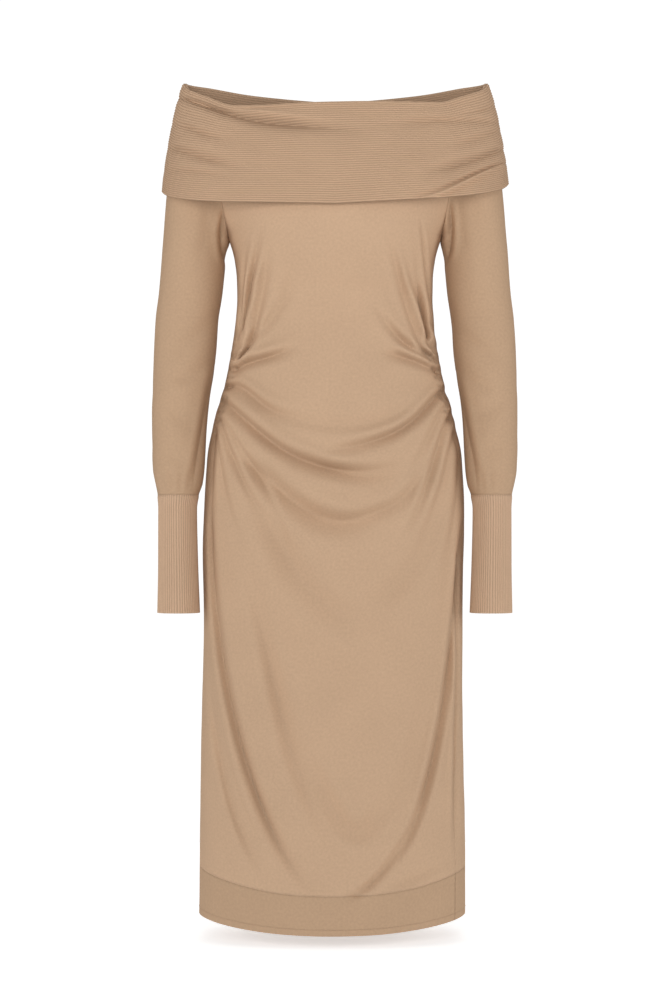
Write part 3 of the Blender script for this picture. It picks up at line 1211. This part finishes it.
class DRESS_OT_sleeves(bpy.types.Operator):
    """Long sleeves, open toward the body above the underarm"""
    bl_idname = "dress.sleeves"
    bl_label = "Sleeves"

    def execute(self, context):
        sizes = context.scene.dress_sizes
        color = context.scene.dress_colors.sleeves
        opened = SLEEVE_ROWS[0]
        levels = (NECK_SEAM, UNDERARM, CUFF_SEAM)
        heights = zone_rows(list(zip(levels, levels[1:], SLEEVE_ROWS)))
        for name, mirrored, seed, folds in (("sleeve_left", False, 11, SLEEVE_LEFT_FOLDS),
                                            ("sleeve_right", True, 12, SLEEVE_RIGHT_FOLDS)):
            points, normals = sleeve_grid(heights, edged(SLEEVE_COLUMNS, 0.012))
            x = points[..., 0]
            z = points[..., 2]
            turn = np.linspace(0, 1, points.shape[1])[None, :]
            at_armhole = smooth(turn * (1 - turn), 0, 0.02)
            relief, creased = fold_relief(x, z, folds)
            kept = np.where(z > UNDERARM, at_armhole, 1)
            relief = relief * kept * sizes.fold_strength
            creased = creased * kept
            waves = sizes.unevenness / MM * slow_waves(x + 400 * (turn > 0.5), z, seed)
            relief = relief + waves * smooth(turn * (1 - turn), 0, 0.03)
            relief = relief * smooth(z, CUFF_SEAM, CUFF_SEAM + SLEEVE_EVEN)
            facing = np.tanh(points[..., 1] / 6)
            outward = fold_way(normals)
            fill = facing * armhole_fill(np.abs(x - x[:, :1]), z)
            inner = points + outward * lowest_near(relief, 2, 2)[..., None]
            inner = inner - sizes.jersey / MM * normals
            points = points + outward * relief[..., None]
            for cloth in (points, inner):
                cloth[..., 1] += fill
                cloth[:opened] = pull_in(cloth[:opened], SEAM_GAP)
                cloth[opened:, 0] += (SEAM_GAP, 0, 0)
                cloth[opened:, -1] += (SEAM_GAP, 0, 0)
            inner = inner[::2, ::2]
            coordinates = cloth_coordinates(points, SLEEVE_COLUMNS // 2)
            piece = wall(name + "_cloth", points, inner, coordinates, opened, mirrored, creased)
            dress_piece(piece, name, knit_finish(name, color))
        return {"FINISHED"}


class DRESS_OT_cuffs(bpy.types.Operator):
    """Deep cuffs with upright ribs"""
    bl_idname = "dress.cuffs"
    bl_label = "Cuffs"

    def execute(self, context):
        sizes = context.scene.dress_sizes
        color = context.scene.dress_colors.cuffs
        levels = (CUFF_SEAM - SEAM_GAP, CUFF_END + 1.5, CUFF_END)
        heights = zone_rows(list(zip(levels, levels[1:], CUFF_ROWS)))
        steps = CUFF_RIB_STEPS * sizes.cuff_ribs
        turns = np.linspace(0, 1, steps + 1)
        for name, mirrored in (("cuff_left", False), ("cuff_right", True)):
            points, normals = sleeve_grid(heights, turns)
            ribs = sizes.rib_height / MM * rib_profile(turns * sizes.cuff_ribs)
            risen = smooth(heights, CUFF_SEAM, CUFF_SEAM - 5)
            cloth = points + normals * ribs[None, :, None] * risen[:, None, None]
            inner = (points - sizes.ribbed / MM * normals)[::2, ::3]
            level = cloth_coordinates(points, steps // 2)[..., 1]
            place = np.repeat(turns[None, :] * sizes.cuff_ribs, len(heights), axis=0)
            coordinates = np.stack([place * sizes.rib_pitch, level], axis=-1)
            piece = wall(name + "_cloth", cloth, inner, coordinates, 0, mirrored)
            dress_piece(piece, name, rib_finish(name, color, sizes.rib_pitch))
        return {"FINISHED"}


class DRESS_OT_collar(bpy.types.Operator):
    """Folded collar with level ribs that follow its turned edge"""
    bl_idname = "dress.collar"
    bl_label = "Collar"

    def execute(self, context):
        sizes = context.scene.dress_sizes
        turn_row = COLLAR_ROWS[0]
        rows = zone_rows([(leg, leg + 1, count) for leg, count in enumerate(COLLAR_ROWS)])
        columns = zone_rows([(-np.pi, -COLLAR_FRONT_ANGLE, COLLAR_BACK_COLUMNS),
                             (-COLLAR_FRONT_ANGLE, COLLAR_FRONT_ANGLE, COLLAR_FRONT_COLUMNS),
                             (COLLAR_FRONT_ANGLE, np.pi, COLLAR_BACK_COLUMNS)])
        angle, along = np.meshgrid(columns, rows)
        base = collar_profile(angle, along)
        normals = -surface_normals(collar_profile, angle, np.clip(along, 0.01, 2.99), 0.002, 0.005)
        x = base[..., 0]
        z = base[..., 2]
        in_front = smooth(np.cos(angle), -0.45, -0.05)
        folds, creased = fold_relief(x, z, COLLAR_FOLDS)
        folds = folds * in_front * sizes.fold_strength
        waves = sizes.unevenness / MM * slow_waves(x + 900 * (np.cos(angle) < 0), z, 21)
        inner_leg = smooth(along, 0, 0.3) * (1 - smooth(along, 0.94, 1))
        relief = folds + waves * np.abs(np.cos(angle))
        relief = relief * (smooth(along, 2.0, 2.04) - inner_leg)
        cloth = base + fold_way(normals) * relief[..., None]
        down = np.linalg.norm(np.diff(cloth, axis=0), axis=-1).cumsum(axis=0)
        down = np.concatenate([np.zeros((1, len(columns))), down])
        from_turn = (down[turn_row:turn_row + 1] - down) * MM / sizes.rib_pitch
        outer_phase = TURN_RIBS * np.clip(along - 1, 0, 1) + OUTER_RIBS * np.clip(along - 2, 0, 1)
        phase = np.where(along < 1, from_turn, outer_phase)
        ribs = sizes.rib_height / MM * rib_profile(phase)
        ribbed = cloth + normals * ribs[..., None]
        lowest = lowest_near(relief, COLLAR_INNER_STEP, 2)
        inner = base + fold_way(normals) * lowest[..., None]
        inner = (inner - sizes.ribbed / MM * normals)[::COLLAR_INNER_STEP, ::2]
        around = cloth_coordinates(cloth, len(columns) // 2)[..., 0]
        coordinates = np.stack([phase * sizes.rib_pitch, around], axis=-1)
        creased = COLLAR_SHADE * creased * in_front * smooth(along, 1.6, 2.0)
        piece = wall("collar_cloth", ribbed, inner, coordinates, 0, creased=creased)
        color = context.scene.dress_colors.collar
        dress_piece(piece, "collar", rib_finish("collar", color, sizes.rib_pitch))
        return {"FINISHED"}


class DRESS_OT_stage(bpy.types.Operator):
    """Pale floor, soft studio light and the camera"""
    bl_idname = "dress.stage"
    bl_label = "Studio"

    def execute(self, context):
        scene = context.scene
        lower_edge = CAD_BOX[0][2]
        add_floor(lower_edge - FLOOR_BELOW, scene.dress_colors.floor)
        for lamp in LAMPS:
            add_light(*lamp)
        add_surroundings(scene)
        add_camera(scene)
        return {"FINISHED"}


def add_floor(height, color):
    """Round floor: rings of points from the middle to its edge."""
    radii = np.linspace(0, 1, 13)[1:] * FLOOR_RADIUS / MM
    turns = np.linspace(0, 2 * np.pi, 97)[:-1]
    radius, turn = np.meshgrid(radii, turns, indexing="ij")
    level = np.full_like(radius, height / MM)
    points = np.stack([radius * np.cos(turn), radius * np.sin(turn), level], axis=-1)
    ids = np.arange(points.shape[0] * points.shape[1]).reshape(points.shape[:2])
    after = np.roll(ids, -1, axis=1)
    quads = np.stack([ids[:-1], ids[1:], after[1:], after[:-1]], axis=-1).reshape(-1, 4)
    middle = np.array([[0, 0, height / MM]])
    hub = np.stack([np.full(len(turns), ids.size), ids[0], after[0]], axis=-1)
    flat = np.concatenate([points.reshape(-1, 3), middle])
    groups = [(faces, flat[faces][..., :2] * MM, False) for faces in (quads, hub)]
    floor = make_mesh("studio_floor", flat, groups)
    floor.data.materials.append(floor_finish(color))


def add_light(name, place, size, power):
    """Square soft light, aimed above the dress so that its top is lit a little more."""
    light = bpy.data.lights.new(name, "AREA")
    light.size = size
    light.energy = power
    lamp = bpy.data.objects.new(name, light)
    lamp.location = place
    toward = np.array(LIGHT_AIM) - np.array(place)
    pitch = math.atan2(math.hypot(toward[0], toward[1]), -toward[2])
    heading = math.atan2(toward[0], toward[1])
    lamp.rotation_euler = (pitch, 0, -heading)
    bpy.context.scene.collection.objects.link(lamp)


def add_surroundings(scene):
    """White studio all round, dimmer as a light than it looks."""
    world = bpy.data.worlds.new("studio")
    scene.world = world
    world.use_nodes = True
    tree = world.node_tree
    lit = tree.nodes["Background"]
    lit.inputs["Color"].default_value = (1, 1, 1, 1)
    lit.inputs["Strength"].default_value = WORLD_LIT
    seen = tree.nodes.new("ShaderNodeBackground")
    seen.inputs["Color"].default_value = (1, 1, 1, 1)
    seen.inputs["Strength"].default_value = WORLD_SEEN
    rays = tree.nodes.new("ShaderNodeLightPath")
    mix = tree.nodes.new("ShaderNodeMixShader")
    tree.links.new(rays.outputs["Is Camera Ray"], mix.inputs[0])
    tree.links.new(lit.outputs[0], mix.inputs[1])
    tree.links.new(seen.outputs[0], mix.inputs[2])
    tree.links.new(mix.outputs[0], tree.nodes["World Output"].inputs["Surface"])
    scene.view_settings.view_transform = "Standard"


def add_camera(scene):
    """Level camera in front of the middle of the dress."""
    camera = bpy.data.objects.new("camera", bpy.data.cameras.new("camera"))
    camera.location = CAMERA_AT
    camera.rotation_euler = (math.radians(90), 0, 0)
    camera.data.sensor_width = SENSOR
    camera.data.lens = CAMERA_LENS
    scene.collection.objects.link(camera)
    scene.camera = camera


class DRESS_PT_pieces(bpy.types.Panel):
    """Pieces, sizes and colours of the dress"""
    bl_label = "Sweater Dress"
    bl_idname = "DRESS_PT_pieces"
    bl_space_type = "VIEW_3D"
    bl_region_type = "UI"
    bl_category = "Dress"

    def draw(self, context):
        layout = self.layout
        for operator in OPERATORS:
            layout.operator(operator.bl_idname)
        for group in (context.scene.dress_sizes, context.scene.dress_colors):
            box = layout.box()
            for name in group.__annotations__:
                box.prop(group, name)


OPERATORS = (
    DRESS_OT_panels,
    DRESS_OT_hem_bands,
    DRESS_OT_sleeves,
    DRESS_OT_cuffs,
    DRESS_OT_collar,
    DRESS_OT_stage,
)
CLASSES = (DressSizes, DressColors, *OPERATORS, DRESS_PT_pieces)


def register():
    for entry in CLASSES:
        bpy.utils.register_class(entry)
    bpy.types.Scene.dress_sizes = PointerProperty(type=DressSizes)
    bpy.types.Scene.dress_colors = PointerProperty(type=DressColors)


def unregister():
    del bpy.types.Scene.dress_colors
    del bpy.types.Scene.dress_sizes
    for entry in reversed(CLASSES):
        bpy.utils.unregister_class(entry)


def main():
    register()
    bpy.ops.dress.panels()
    bpy.ops.dress.hem_bands()
    bpy.ops.dress.sleeves()
    bpy.ops.dress.cuffs()
    bpy.ops.dress.collar()
    bpy.ops.dress.stage()


if __name__ == "__main__":
    main()
